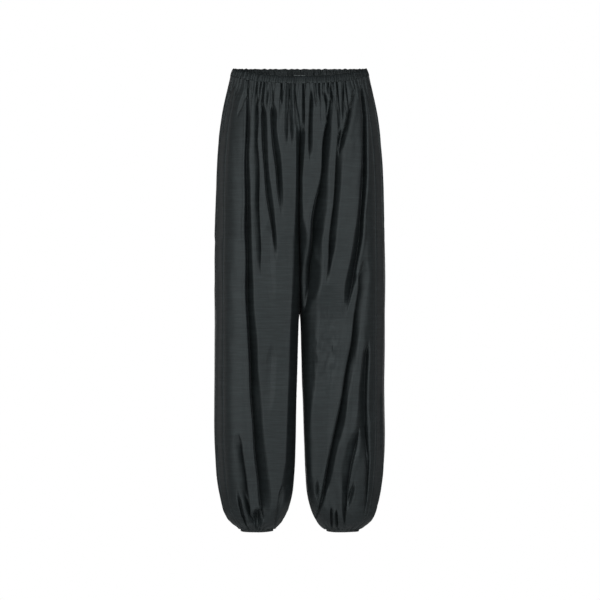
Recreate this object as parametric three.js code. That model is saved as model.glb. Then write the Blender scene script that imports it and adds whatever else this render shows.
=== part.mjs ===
// Balloon trousers, filled out as if worn, with an elastic waist and small elastic hems.
// Millimetres, +Z up, the front faces -Y, and +X is to the right as seen from the front.
// The origin is the middle of the waist, at the height of its edge over the side seams.
// "Drop" is a distance below the origin, and "across" is a distance from the middle plane.
import * as THREE from 'three';

// Cloth and seams
const CLOTH = 1.6;
const CASING = 2.6;
const SEAM_GAP = 0.3;

// Waist casing: its edge dips in front and rises at the back
const CASING_HEIGHT = 17.5;
const FRONT_DIP = 25;
const BACK_RISE = 10;
const DIP_CURVE = 1.6;
const RISE_CURVE = 1.05;
const DIP_REACH = 260;
const CASING_SWELL = 1.2;
const CASING_TAPER = 6;
const WAIST_WAVES = 96;
const WAIST_WAVE_DEPTH = 1.1;

// Seams: the outseam lies a little to the front, and the crotch seam curves down and in
const OUTSEAM_SHARE = 0.885;
const CROTCH_DROP = 380;
const FRONT_CLEFT_DROP = 128;
const BACK_CLEFT_DROP = 165;
const CLEFT_RUN = 45;
const CLEFT_SHARE = 0.1;

// Roundness of the sections: 2 is an ellipse, and more is squarer
const TORSO_ROUND = 2.3;
const LEG_ROUND = 2.3;
const INNER_ROUND = 4.6;
const CLEFT_ROUND = 9;
const LEGS_FORM_DROP = 100;
const ROUND_SETTLED_DROP = 560;
const INNER_SQUARE_DROP = 400;
const INNER_SETTLED_DROP = 640;
const BALLOON_DROP = 880;

// The inner walls of the two legs lie side by side along one shared wavy line, which is
// a little to the left at the front
const SHARED_WAVE = -3.5;
const SHARED_WAVE_LENGTH = 160;
const SHARED_WAVE_REACH = 40;
const LEGS_PART_DROP = 505;

// Hems
const HEM_ACROSS = 94.5;
const HEM_RADIUS = 35.2;
const HEM_TOP_DROP = 1005.5;
const HEM_BOTTOM_DROP = 1019;
const HEM_WAVES = 18;
const HEM_WAVE_TOP = 0.3;
const HEM_WAVE_BOTTOM = 1.3;
const HEM_FLARE = 0.8;

// Gathers that the casing sends down into each panel
const PANEL_WAVES = 7;
const PANEL_WAVE_DEPTH = 2.2;
const PANEL_WAVE_DROP = 120;

// Mesh density
const FACE_COLUMNS = 21;
const WALL_COLUMNS = 6;
const CORNER_REACH = 14;
const UPPER_RINGS = 13;
const LOWER_RINGS = 12;
const EVEN_RINGS_END_ROW = 15;
const COLUMNS_PER_WAIST_WAVE = 2;
const COLUMNS_PER_HEM_WAVE = 4;
const SECTION_STEPS = 240;

// Label inside the centre back, and the allowance for the curve of the casing behind it
const LABEL = { width: 25, height: 30, thickness: 0.8, topDrop: 4 };
const LABEL_CURVE_ROOM = 0.2;

const SLATE = new THREE.MeshStandardMaterial({ color: 0x353b3d, roughness: 0.45, metalness: 0 });
const PALE = new THREE.MeshStandardMaterial({ color: 0xb9b9b6, roughness: 0.8, metalness: 0 });

// Half of the garment, section by section: how far out the side is, how far from the
// middle plane the inner wall starts, and how far the front and the back stand out.
const SECTIONS = [
  { drop: 17.8, outer: 153.2, inner: 0, front: 105, back: 107 },
  { drop: 55, outer: 162, inner: 0, front: 109, back: 115 },
  { drop: 105, outer: 172, inner: 0, front: 112, back: 124 },
  { drop: 160, outer: 178.5, inner: 0.2, front: 114, back: 131 },
  { drop: 220, outer: 183, inner: 0.5, front: 115, back: 134 },
  { drop: 285, outer: 185.3, inner: 0.5, front: 115, back: 132 },
  { drop: 345, outer: 185.8, inner: 0.5, front: 114, back: 126 },
  { drop: 385, outer: 186.5, inner: 0.5, front: 113, back: 121 },
  { drop: 440, outer: 187.5, inner: 0.5, front: 111, back: 115 },
  { drop: 505, outer: 187.5, inner: 0.6, front: 110, back: 111 },
  { drop: 580, outer: 187.5, inner: 2.8, front: 108, back: 108 },
  { drop: 660, outer: 187.5, inner: 4.6, front: 106, back: 106 },
  { drop: 740, outer: 187.5, inner: 7.2, front: 105, back: 105 },
  { drop: 815, outer: 186.8, inner: 9.6, front: 103, back: 103 },
  { drop: 880, outer: 183.5, inner: 12, front: 99, back: 99 },
  { drop: 925, outer: 178.8, inner: 15, front: 93, back: 93 },
  { drop: 955, outer: 173.2, inner: 20.5, front: 86, back: 86 },
  { drop: 978, outer: 167, inner: 28, front: 77, back: 77 },
  { drop: 995, outer: 157.5, inner: 36.8, front: 66, back: 66 },
  { drop: 1007, outer: 144.5, inner: 45.5, front: 52, back: 52 },
  { drop: 1015, outer: 134, inner: 55, front: 40.5, back: 40.5 },
  { drop: 1011.5, outer: 133.2, inner: 55.8, front: 38.7, back: 38.7 },
  { drop: 1005.8, outer: 130.4, inner: 58.6, front: 35.9, back: 35.9 },
];

// Folds: from one drop to another, at three distances across (top, middle and bottom),
// with their half widths at the two ends and their depth.
const fold = (from, to, top, middle, bottom, halfTop, halfBottom, depth) =>
  ({ from, to, top, middle, bottom, halfTop, halfBottom, depth });

const FRONT_FOLDS = {
  left: [
    fold(28, 975, 112, 107.5, 74, 6, 11, 11),
    fold(37, 450, 94.5, 93.5, 87, 5, 5, 5),
    fold(41, 413, 75, 73, 47, 5, 3, 5),
    fold(67, 352, 58, 47.5, 32, 5, 5, 6),
    fold(46, 173, 27.5, 28.5, 29.5, 3, 3, 3),
    fold(819, 951, 135.5, 124, 114, 7, 7, 8),
    fold(927, 1005, 133, 127, 112, 5, 5, 5),
    fold(960, 1006, 92, 90, 90, 8, 8, 6),
  ],
  right: [
    fold(61, 212, 26.5, 24.5, 26.5, 4, 4, 4),
    fold(61, 123, 54.5, 55.5, 56.5, 3, 3, 3),
    fold(41, 478, 72, 54, 24.5, 6, 11, 10),
    fold(41, 467, 82.5, 85, 62, 6, 4, 7),
    fold(52, 162, 119, 108.5, 100, 4, 4, 5),
    fold(61, 534, 133.5, 139, 98.5, 7, 7, 9),
    fold(439, 968, 142, 101, 34.5, 7, 8, 10),
    fold(797, 1005, 126, 99, 95.5, 8, 5, 9),
    fold(575, 690, 74, 69, 63, 9, 9, 4),
  ],
};

const BACK_FOLDS = {
  left: [
    fold(40, 930, 104, 112, 80, 6, 10, 9),
    fold(60, 430, 70, 64, 47, 5, 5, 6),
    fold(45, 290, 42, 40, 31, 4, 4, 4),
    fold(330, 860, 138, 112, 58, 7, 9, 9),
    fold(780, 1000, 121, 106, 94, 8, 5, 8),
    fold(560, 730, 52, 58, 64, 8, 8, 4),
  ],
  right: [
    fold(50, 700, 116, 121, 92, 6, 9, 9),
    fold(45, 460, 88, 80, 58, 5, 6, 7),
    fold(60, 260, 53, 50, 44, 4, 4, 4),
    fold(430, 960, 137, 98, 50, 7, 8, 9),
    fold(60, 190, 28, 27, 27, 3, 3, 3),
    fold(810, 1000, 119, 105, 96, 7, 5, 7),
  ],
};

// Folds of the sides, whose place is measured along the cloth behind the outseam
const SIDE_FOLDS = {
  left: [
    fold(40, 560, 34, 46, 72, 5, 6, 6),
    fold(470, 930, 96, 84, 58, 6, 8, 7),
    fold(50, 250, 74, 78, 84, 5, 5, 5),
  ],
  right: [
    fold(45, 420, 42, 38, 60, 5, 6, 6),
    fold(380, 900, 70, 92, 76, 6, 8, 7),
    fold(860, 1000, 44, 50, 46, 6, 4, 6),
  ],
};

const clamp = (value, low, high) => Math.min(high, Math.max(low, value));
const mix = (a, b, share) => a + (b - a) * share;

function ease(from, to, value) {
  const t = clamp((value - from) / (to - from), 0, 1);
  return t * t * (3 - 2 * t);
}

// A quarter of a rounded section: 1 in the middle and 0 at the edge
function rounding(share, power) {
  return Math.pow(Math.max(0, 1 - Math.pow(Math.abs(share), power)), 1 / power);
}

// The value of a smooth curve through a column of the section table
function tableValue(column, row) {
  const last = SECTIONS.length - 1;
  const start = Math.min(Math.floor(row), last - 1);
  const t = row - start;
  const [a, b, c, d] = [-1, 0, 1, 2].map((step) => SECTIONS[clamp(start + step, 0, last)][column]);
  const slopeIn = (c - a) / 2;
  const slopeOut = (d - b) / 2;
  const square = t * t;
  const cube = square * t;
  return (2 * cube - 3 * square + 1) * b + (cube - 2 * square + t) * slopeIn
    + (3 * square - 2 * cube) * c + (cube - square) * slopeOut;
}

// How far the seam between the legs has turned in: 0 on the front or back, 1 at the crotch
function cleft(drop, startDrop) {
  const t = clamp((drop - startDrop) / (CROTCH_DROP - startDrop), 0, 1);
  const turn = 1 - Math.sqrt(1 - t * t);
  return mix(turn, 1, CLEFT_SHARE * ease(startDrop, startDrop + CLEFT_RUN, drop));
}

// Height of the waist edge above the origin, for a point that is y in front or behind
function waistRise(y) {
  const depth = y < 0 ? SECTIONS[0].front : SECTIONS[0].back;
  const share = Math.pow(Math.min(1, Math.abs(y) / depth), y < 0 ? DIP_CURVE : RISE_CURVE);
  return share * (y < 0 ? -FRONT_DIP : BACK_RISE);
}

function sizesAt(row) {
  const size = {};
  for (const column of Object.keys(SECTIONS[0])) size[column] = tableValue(column, row);
  return size;
}

// Roundness of a section's inner half: square in the cleft, and round at the hem
function innerRound(drop) {
  const leg = mix(CLEFT_ROUND, INNER_ROUND, ease(INNER_SQUARE_DROP, INNER_SETTLED_DROP, drop));
  return mix(leg, LEG_ROUND, ease(BALLOON_DROP, HEM_TOP_DROP, drop));
}

// How far out the cloth lies at x, on the front or the back of one leg
function standOut(x, size, depth, cleftShare) {
  const middle = (size.outer + size.inner) / 2;
  const across = (x - middle) / (size.outer - middle);
  const settled = ease(LEGS_FORM_DROP, ROUND_SETTLED_DROP, size.drop);
  const torso = rounding(x / size.outer, TORSO_ROUND);
  const outside = mix(torso, rounding(Math.max(0, across), LEG_ROUND), settled);
  const inside = rounding(Math.min(0, across), innerRound(size.drop));
  return depth * outside * mix(1, inside, cleftShare);
}

// One leg's section, from the front end of its cloth round the outside to the back end
function sectionAt(row) {
  const size = sizesAt(row);
  const points = [];
  for (let step = 0; step <= 2 * SECTION_STEPS; step += 1) {
    const isFront = step <= SECTION_STEPS;
    const turn = Math.PI * (isFront ? step : 2 * SECTION_STEPS - step) / SECTION_STEPS;
    const x = mix(size.inner, size.outer, (1 - Math.cos(turn)) / 2);
    const y = isFront
      ? -standOut(x, size, size.front, cleft(size.drop, FRONT_CLEFT_DROP))
      : standOut(x, size, size.back, cleft(size.drop, BACK_CLEFT_DROP));
    points.push(new THREE.Vector2(x, y));
  }
  const along = [0];
  for (let i = 1; i < points.length; i += 1) along.push(along[i - 1] + points[i].distanceTo(points[i - 1]));
  const section = { size, points, along, length: along[along.length - 1] };
  section.outseam = alongAtX(section, OUTSEAM_SHARE * size.outer, true);
  return section;
}

// Distance along the section where it passes x, on the front or on the back
function alongAtX(section, x, isFront) {
  const { points, along } = section;
  const half = SECTION_STEPS;
  for (let i = 1; i <= half; i += 1) {
    const far = isFront ? i : 2 * half - i;
    const near = isFront ? i - 1 : 2 * half - i + 1;
    if (points[far].x >= x) {
      const share = (x - points[near].x) / Math.max(1e-9, points[far].x - points[near].x);
      return mix(along[near], along[far], clamp(share, 0, 1));
    }
  }
  return along[half];
}

function pointAlong(section, distance) {
  const { points, along } = section;
  const target = clamp(distance, 0, section.length);
  let low = 0;
  let high = along.length - 1;
  while (high - low > 1) {
    const middle = (low + high) >> 1;
    if (along[middle] <= target) low = middle;
    else high = middle;
  }
  const share = (target - along[low]) / Math.max(1e-9, along[high] - along[low]);
  return points[low].clone().lerp(points[high], share);
}

// The smooth form of the cloth, before its folds, at a distance along a section
function smoothPoint(section, distance) {
  const { x, y } = pointAlong(section, distance);
  const { drop, inner } = section.size;
  const rise = waistRise(y) * (1 - ease(SECTIONS[0].drop, DIP_REACH, drop));
  return new THREE.Vector3(x, y, rise - drop);
}

// Both legs' inner walls follow one line, so this shift has the same sense on each
function sharedShift(point, size) {
  const near = 1 - ease(0, SHARED_WAVE_REACH, point.x - size.inner);
  const fadeIn = ease(FRONT_CLEFT_DROP, CROTCH_DROP, size.drop);
  const fadeOut = 1 - ease(LEGS_PART_DROP, ROUND_SETTLED_DROP, size.drop);
  return SHARED_WAVE * Math.sin(2 * Math.PI * point.y / SHARED_WAVE_LENGTH) * near * fadeIn * fadeOut;
}

// Where a fold runs at this section, and how wide and deep it is there
function foldAt(entry, section, place) {
  const t = (section.size.drop - entry.from) / (entry.to - entry.from);
  if (t <= 0 || t >= 1) return null;
  const bend = 2 * (entry.top + entry.bottom - 2 * entry.middle);
  const slope = entry.bottom - entry.top - bend;
  return {
    centre: place(section, entry.top + slope * t + bend * t * t),
    half: mix(entry.halfTop, entry.halfBottom, t),
    depth: entry.depth * ease(0, 0.15, t) * (1 - ease(0.75, 1, t)),
  };
}

const placeOnFront = (section, across) => alongAtX(section, across, true);
const placeOnBack = (section, across) => alongAtX(section, across, false);
const placeBehindOutseam = (section, distance) => section.outseam + distance;

function foldsAt(section, face, side) {
  const found = face === 'front'
    ? FRONT_FOLDS[side].map((entry) => foldAt(entry, section, placeOnFront))
    : [
      ...BACK_FOLDS[side].map((entry) => foldAt(entry, section, placeOnBack)),
      ...SIDE_FOLDS[side].map((entry) => foldAt(entry, section, placeBehindOutseam)),
    ];
  return found.filter((entry) => entry && entry.depth > 0.3);
}

// Even columns across a panel's face, each drawn to the bottom of the fold nearest to it
function facePlaces(outseam, corner, folds) {
  const spacing = (corner - outseam) / FACE_COLUMNS;
  const places = Array.from({ length: FACE_COLUMNS + 1 }, (_, j) => outseam + spacing * j);
  for (const entry of folds) {
    const column = Math.round((entry.centre - outseam) / spacing);
    if (column > 0 && column < FACE_COLUMNS) places[column] = entry.centre;
  }
  return { places, spacing };
}

// Even columns across the wall between a face's inner corner and the seam between the legs
function wallPlaces(corner, end) {
  const spacing = (end - corner) / WALL_COLUMNS;
  return Array.from({ length: WALL_COLUMNS }, (_, j) => corner + spacing * (j + 1));
}

function foldDepth(distance, folds, spacing, edgeDistance) {
  let depth = 0;
  for (const entry of folds) {
    const reach = Math.max(entry.half, 1.3 * Math.abs(spacing));
    const share = Math.abs(distance - entry.centre) / reach;
    if (share < 1) depth = Math.max(depth, entry.depth * (1 - share));
  }
  return depth * ease(0, 12, edgeDistance);
}

// Gathers at the top of a panel, which follow the waist casing
function gatherDepth(share, drop) {
  const fade = 1 - ease(SECTIONS[0].drop, PANEL_WAVE_DROP, drop);
  const wave = 0.5 - 0.5 * Math.cos(2 * Math.PI * PANEL_WAVES * share);
  return PANEL_WAVE_DEPTH * wave * fade;
}

// Direction into the garment, from the smooth form's two slopes
function inwardAt(row, distance, range) {
  const last = SECTIONS.length - 1;
  const section = sectionCache(row);
  const [outseam, corner, end] = range(section);
  const isFace = Math.abs(distance - outseam) <= Math.abs(corner - outseam);
  const share = isFace ? (distance - outseam) / (corner - outseam) : (distance - corner) / (end - corner);
  const sample = (sampleRow) => {
    const other = sectionCache(clamp(sampleRow, 0, last));
    const places = range(other);
    return smoothPoint(other, isFace ? mix(places[0], places[1], share) : mix(places[1], places[2], share));
  };
  const down = sample(row + 0.25).sub(sample(row - 0.25));
  const onward = smoothPoint(section, distance + 1).sub(smoothPoint(section, distance - 1));
  const inward = onward.cross(down);
  if (row < 1) inward.z *= row;
  return inward.normalize();
}

const knownSections = new Map();
function sectionCache(row) {
  if (!knownSections.has(row)) knownSections.set(row, sectionAt(row));
  return knownSections.get(row);
}

// The row of the section table at which the cloth reaches a drop, above the balloon ends
function rowAtDrop(drop) {
  let low = 0;
  let high = EVEN_RINGS_END_ROW;
  for (let step = 0; step < 30; step += 1) {
    const middle = (low + high) / 2;
    if (tableValue('drop', middle) < drop) low = middle;
    else high = middle;
  }
  return low;
}

function evenRows(top, end, count) {
  return Array.from({ length: count }, (_, i) => rowAtDrop(mix(top, end, i / (count - 1))));
}

// Each panel is in two lengths, which meet where the legs part. Rings are at even drops,
// with one more at each section of the balloon end.
function ringRows(length) {
  const half = SEAM_GAP / 2;
  if (length === 'upper') return evenRows(SECTIONS[0].drop, LEGS_PART_DROP - half, UPPER_RINGS);
  const rows = evenRows(LEGS_PART_DROP + half, SECTIONS[EVEN_RINGS_END_ROW].drop, LOWER_RINGS);
  for (let row = EVEN_RINGS_END_ROW + 1; row < SECTIONS.length; row += 1) rows.push(row);
  return rows;
}

// Where a panel's outseam edge, inner corner and inner edge lie along a section
const PANEL_RANGES = {
  front: (section) => [
    section.outseam - SEAM_GAP / 2,
    alongAtX(section, section.size.inner + CORNER_REACH, true),
    SEAM_GAP / 2,
  ],
  back: (section) => [
    section.outseam + SEAM_GAP / 2,
    alongAtX(section, section.size.inner + CORNER_REACH, false),
    section.length - SEAM_GAP / 2,
  ],
};

// One length of a leg panel: a wall between its outer points and the same points moved in
function panelWall(face, side, length) {
  const range = PANEL_RANGES[face];
  const mirror = side === 'left' ? -1 : 1;
  const outer = [];
  const inner = [];
  for (const [ring, row] of ringRows(length).entries()) {
    const section = sectionCache(row);
    const [outseam, corner, end] = range(section);
    const folds = foldsAt(section, face, side);
    const { places, spacing } = facePlaces(outseam, corner, folds);
    outer.push([]);
    inner.push([]);
    for (const distance of [...places, ...wallPlaces(corner, end)]) {
      const share = (distance - outseam) / (end - outseam);
      const edgeDistance = Math.min(Math.abs(distance - outseam), Math.abs(end - distance));
      const depth = foldDepth(distance, folds, spacing, edgeDistance)
        + gatherDepth(share, section.size.drop);
      const point = smoothPoint(section, distance);
      const shift = sharedShift(point, section.size);
      const inward = inwardAt(row, distance, range);
      for (const [grid, step] of [[outer, depth], [inner, depth + CLOTH]]) {
        const moved = point.clone().addScaledVector(inward, step);
        grid[ring].push(new THREE.Vector3(mirror * moved.x + shift, moved.y, moved.z));
      }
    }
  }
  return wallGeometry(outer, inner);
}

// Two triangles over four corners, split along the shorter diagonal
function addQuad(indices, points, a, b, c, d) {
  if (points[a].distanceTo(points[c]) <= points[b].distanceTo(points[d])) indices.push(a, b, c, a, c, d);
  else indices.push(a, b, d, b, c, d);
}

// A closed body between two grids of points that match
function wallGeometry(outer, inner) {
  const rows = outer.length;
  const columns = outer[0].length;
  const points = [...outer.flat(), ...inner.flat()];
  const indices = [];
  const out = (i, j) => i * columns + j;
  const into = (i, j) => (rows + i) * columns + j;
  for (let i = 0; i + 1 < rows; i += 1) {
    for (let j = 0; j + 1 < columns; j += 1) {
      addQuad(indices, points, out(i, j), out(i, j + 1), out(i + 1, j + 1), out(i + 1, j));
      addQuad(indices, points, into(i, j), into(i + 1, j), into(i + 1, j + 1), into(i, j + 1));
    }
    addQuad(indices, points, out(i, 0), out(i + 1, 0), into(i + 1, 0), into(i, 0));
    addQuad(indices, points, out(i + 1, columns - 1), out(i, columns - 1), into(i, columns - 1),
      into(i + 1, columns - 1));
  }
  for (let j = 0; j + 1 < columns; j += 1) {
    addQuad(indices, points, out(0, j + 1), out(0, j), into(0, j), into(0, j + 1));
    addQuad(indices, points, out(rows - 1, j), out(rows - 1, j + 1), into(rows - 1, j + 1), into(rows - 1, j));
  }
  return closedGeometry(points, indices);
}

// A closed body from a closed profile of points that goes once round a loop
function loopGeometry(profiles) {
  const count = profiles.length;
  const size = profiles[0].length;
  const points = profiles.flat();
  const indices = [];
  for (let i = 0; i < count; i += 1) {
    const next = (i + 1) % count;
    for (let j = 0; j < size; j += 1) {
      const after = (j + 1) % size;
      addQuad(indices, points, i * size + j, next * size + j, next * size + after, i * size + after);
    }
  }
  return closedGeometry(points, indices);
}

function enclosedVolume(points, indices) {
  let volume = 0;
  for (let i = 0; i < indices.length; i += 3) {
    const [a, b, c] = [0, 1, 2].map((step) => points[indices[i + step]]);
    volume += a.dot(b.clone().cross(c)) / 6;
  }
  return volume;
}

// The faces are turned to point out of the body
function closedGeometry(points, indices) {
  const facing = enclosedVolume(points, indices) > 0 ? indices : indices.reverse();
  const geometry = new THREE.BufferGeometry().setFromPoints(points);
  geometry.setIndex(facing);
  geometry.computeVertexNormals();
  return geometry;
}

// The waist line: the top section of both legs joined into one closed loop
function waistLoop(count) {
  const section = sectionCache(0);
  const half = section.length;
  return Array.from({ length: count }, (_, i) => {
    const place = 2 * half * i / count;
    const isRight = place < half;
    const point = pointAlong(section, isRight ? place : 2 * half - place);
    return new THREE.Vector2(isRight ? point.x : -point.x, point.y);
  });
}

// Elastic casing round the waist, gathered into waves, which swells at its middle and
// leans in at its top
function waistCasing() {
  const count = WAIST_WAVES * COLUMNS_PER_WAIST_WAVE;
  const loop = waistLoop(count);
  const profiles = loop.map((point, i) => {
    const before = loop[(i + count - 1) % count];
    const after = loop[(i + 1) % count];
    const out = new THREE.Vector2(after.y - before.y, before.x - after.x).normalize();
    const wave = WAIST_WAVE_DEPTH * Math.cos(2 * Math.PI * i / COLUMNS_PER_WAIST_WAVE);
    const rise = waistRise(point.y);
    const at = (swell, height) => {
      const moved = point.clone().addScaledVector(out, swell + wave);
      return new THREE.Vector3(moved.x, moved.y, rise + height);
    };
    const outside = -WAIST_WAVE_DEPTH;
    return [
      at(outside, -CASING_HEIGHT),
      at(outside + CASING_SWELL - CASING_TAPER / 2, -CASING_HEIGHT / 2),
      at(outside - CASING_TAPER, 0),
      at(outside - CASING_TAPER - CASING, 0),
      at(outside - CASING, -CASING_HEIGHT),
    ];
  });
  return loopGeometry(profiles);
}

// Elastic casing round one hem, with a small ruffle at its lower edge
function hemCasing(mirror) {
  const count = HEM_WAVES * COLUMNS_PER_HEM_WAVE;
  const profiles = Array.from({ length: count }, (_, i) => {
    const turn = 2 * Math.PI * i / count;
    const wave = Math.cos(HEM_WAVES * turn);
    const at = (radius, drop) => new THREE.Vector3(
      mirror * HEM_ACROSS + radius * Math.cos(turn), radius * Math.sin(turn), -drop);
    const top = HEM_RADIUS + HEM_WAVE_TOP * wave;
    const bottom = HEM_RADIUS + HEM_FLARE + HEM_WAVE_BOTTOM * wave;
    const middle = (top + bottom) / 2 - HEM_WAVE_BOTTOM / 2;
    return [
      at(top, HEM_TOP_DROP),
      at(middle, (HEM_TOP_DROP + HEM_BOTTOM_DROP) / 2),
      at(bottom, HEM_BOTTOM_DROP),
      at(bottom - CASING, HEM_BOTTOM_DROP),
      at(top - CASING, HEM_TOP_DROP),
    ];
  });
  return loopGeometry(profiles);
}

function named(name, geometry, material) {
  const mesh = new THREE.Mesh(geometry, material);
  mesh.name = name;
  return mesh;
}

// Blank label that hangs against the inside of the casing at the centre back
function label() {
  const mesh = named('label', new THREE.BoxGeometry(LABEL.width, LABEL.thickness, LABEL.height), PALE);
  const shareUp = 1 - (LABEL.topDrop + BACK_RISE) / CASING_HEIGHT;
  const casingInside = SECTIONS[0].back - CASING - CASING_TAPER * shareUp - 2 * WAIST_WAVE_DEPTH;
  const y = casingInside - SEAM_GAP - LABEL_CURVE_ROOM - LABEL.thickness / 2;
  mesh.position.set(0, y, -LABEL.topDrop - LABEL.height / 2);
  return mesh;
}

const trousers = new THREE.Group();
trousers.name = 'balloon_trousers';
for (const side of ['left', 'right']) {
  for (const face of ['front', 'back']) {
    for (const length of ['upper', 'lower']) {
      trousers.add(named(`${face}_${side}_${length}`, panelWall(face, side, length), SLATE));
    }
  }
  trousers.add(named(`hem_${side}`, hemCasing(side === 'left' ? -1 : 1), SLATE));
}
trousers.add(named('waistband', waistCasing(), SLATE));
trousers.add(label());

export default trousers;
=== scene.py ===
"""Balloon trousers of dark slate dupion, filled out as if worn.

Lengths are in millimetres until a mesh is made, as in the part's own source, and the
front faces -Y. The materials and the studio are in metres. "Left" and "right" are as
seen from the front. "Drop" is a distance below the origin, and "across" is a distance
from the middle plane. Each leg's cloth is one smooth form with its folds pressed into
it, and is then split into its front and back panel along the outseam.
"""
import math

import bpy
import numpy as np
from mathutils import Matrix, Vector


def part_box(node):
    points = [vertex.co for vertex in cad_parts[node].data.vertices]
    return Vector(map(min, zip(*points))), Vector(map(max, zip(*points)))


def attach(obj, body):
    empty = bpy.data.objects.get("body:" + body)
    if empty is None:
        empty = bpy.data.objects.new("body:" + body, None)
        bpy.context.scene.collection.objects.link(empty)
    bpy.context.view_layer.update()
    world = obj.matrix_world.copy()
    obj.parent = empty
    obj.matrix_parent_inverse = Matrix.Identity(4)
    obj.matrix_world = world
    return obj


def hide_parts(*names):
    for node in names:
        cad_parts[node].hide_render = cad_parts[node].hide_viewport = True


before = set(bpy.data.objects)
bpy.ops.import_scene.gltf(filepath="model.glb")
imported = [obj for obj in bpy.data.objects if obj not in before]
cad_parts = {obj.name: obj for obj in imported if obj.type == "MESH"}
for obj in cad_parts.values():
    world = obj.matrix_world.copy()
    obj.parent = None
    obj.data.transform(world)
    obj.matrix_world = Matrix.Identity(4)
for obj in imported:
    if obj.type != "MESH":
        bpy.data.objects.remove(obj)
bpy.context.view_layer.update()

METRE = 0.001
SIDES = ("left", "right")

# Cloth, and how far it runs up into the waist casing
CLOTH = 0.9
TUCK = 3.0

# Outseam, crotch and the cleft that leads to it
OUTSEAM_SHARE = 0.885
CROTCH_DROP = 380.0
FRONT_CLEFT_DROP = 128.0
BACK_CLEFT_DROP = 165.0
BACK_TURN_LAG = BACK_CLEFT_DROP - FRONT_CLEFT_DROP
CLEFT_RUN = 45.0
CLEFT_SHARE = 0.1

# Seams: the groove along each, the pucker beside it, and how the two legs' cloth meets
# in the middle, which ends between two drops
SEAM_GROOVE_DEPTH = 1.1
SEAM_GROOVE_HALF = 2.6
PUCKER_PLACE = 5.0
PUCKER_WIDTH = 4.5
PUCKER_LENGTH = 13.0
PUCKER_DEPTH = 0.35
CENTRE_SEAM_REACH = 5.0
CENTRE_SEAM_LAP = 0.1
CENTRE_SEAM_END = (CROTCH_DROP - 10, CROTCH_DROP + 20)

# Waist edge: how far it dips in front and rises behind, and down to which drop that shows
FRONT_DIP = 25.0
BACK_RISE = 10.0
DIP_CURVE = 1.6
RISE_CURVE = 1.05
DIP_REACH = 260.0

# Waist casing. Its taper changes from the front's to the back's between two distances
# behind the middle.
CASING = 2.4
CASING_HEIGHT = 17.5
CASING_SWELL = 1.0
CASING_STAND_OUT = 0.6
CASING_TAPER = 6.0
BACK_CASING_TAPER = 1.5
TAPER_CHANGE = (30, 100)
CASING_GATHER_DEPTH = 2.1
CASING_EDGE_SHARE = 0.62
CASING_LEAN_COLUMNS = 2.2
CASING_WANDER = 0.35
CASING_WANDER_LENGTH = 70.0
CASING_EDGE_DIP = 0.55
CASING_RUFFLE = 1.1
CASING_RUFFLE_LENGTH = 15.0

# How square a casing's section is at its edges and on its faces, and its narrow dips
BAND_EDGE_POWER = 0.55
BAND_FACE_POWER = 0.5
DIP_HALF = 0.3
DIP_POWER = 1.6

# Roundness of the sections
TORSO_ROUND = 2.3
LEG_ROUND = 2.3
CLEFT_ROUND = 9.0
LEGS_FORM_DROP = 100.0
ROUND_SETTLED_DROP = 560.0
BALLOON_DROP = 880.0

# Roundness of each leg's inner half, and from and to which drop it settles to that
INNER_ROUND = {"left": (6.5, 420, 680), "right": (4.8, 400, 620)}

# Shared line of the inner walls
SHARED_WAVE = -3.5
SHARED_WAVE_LENGTH = 160.0
SHARED_WAVE_REACH = 40.0
LEGS_PART_DROP = 505.0

# Hem casings
HEM_ACROSS = 94.5
HEM_RADIUS = 35.2
HEM_SINK = 0.2
HEM_TOP_DROP = 1005.5
HEM_BOTTOM_DROP = 1019.0
HEM_CASING = 2.0
HEM_SWELL = 0.5
HEM_FLARE = 1.6
HEM_DIP_DEPTH = 1.5
HEM_TOP_DIP_SHARE = 0.35
HEM_SAG = 0.8
HEM_SAG_TURN = 2.1

# Gathers at each hem: how many, how far each is moved from even spacing, its depth, how
# far up it reaches, and how it widens and fades
HEM_WAVES = 34
HEM_GATHER_SHIFT = 0.25
HEM_GATHER_DEPTHS = (0.6, 1.3)
HEM_GATHER_REACH = 22.0
HEM_GATHER_MORE_REACH = 18.0
HEM_GATHER_MOST_REACH = 70.0
HEM_GATHER_DEPTH = 2.5
HEM_GATHER_HALF = 1.5
HEM_GATHER_WIDENING = 2.6
HEM_GATHER_RISE = 0.25
HEM_GATHER_FADE = 0.4
HEM_GATHER_POWER = 1.8

# Fine gathers of the waist, for each leg, in the same terms
WAIST_GATHERS = 84
GATHER_SHIFT = 0.28
GATHER_DEPTHS = (0.45, 1.6)
GATHER_REACH = 32.0
GATHER_MORE_REACH = 26.0
GATHER_MOST_REACH = 125.0
LONG_GATHERS = 16
GATHER_DRIFT = 3.2
GATHER_DEPTH = 3.4
GATHER_HALF = 2.2
GATHER_WIDENING = 0.5
GATHER_FADE = 0.2

# Mesh density
SECTION_STEPS = 240
TABLE_STEPS = 2200
LEG_RINGS = 166
END_RINGS = 36
END_START_ROW = 16
FRONT_COLUMNS = 220
BACK_COLUMNS = 232
WALL_COLUMNS = 34
CORNER_REACH = 14.0
CASING_COLUMNS = 1344
CASING_PROFILE = 22
TANGENT_COLUMNS = 3
HEM_COLUMNS = 408

# Each fold's line, width and depth. A change is its size, its rate and its start.
FOLD_WANDER = 1.8
FOLD_WANDER_LENGTH = 210.0
FULL_WANDER_DEPTH = 6.0
FOLD_WIDTH = 1.2
FOLD_DEPTH = 1.65
DEPTH_OF_WIDTH = 2.4
WIDTH_CHANGE = (0.18, 1.3, 50)
DEPTH_CHANGE = (0.15, 0.9, -70)

# Each fold's ends
FOLD_RUN_IN = 22.0
FOLD_RUN_IN_SHARE = 0.4
FOLD_RUN_OUT = 90.0
FOLD_RUN_OUT_SHARE = 0.34
FOLD_END_WIDTH = 0.4
FOLD_END_POWER = 0.8
FOLD_ABOVE_HEM = 12.0
FOLD_SEAM_REACH = 5.0

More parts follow.
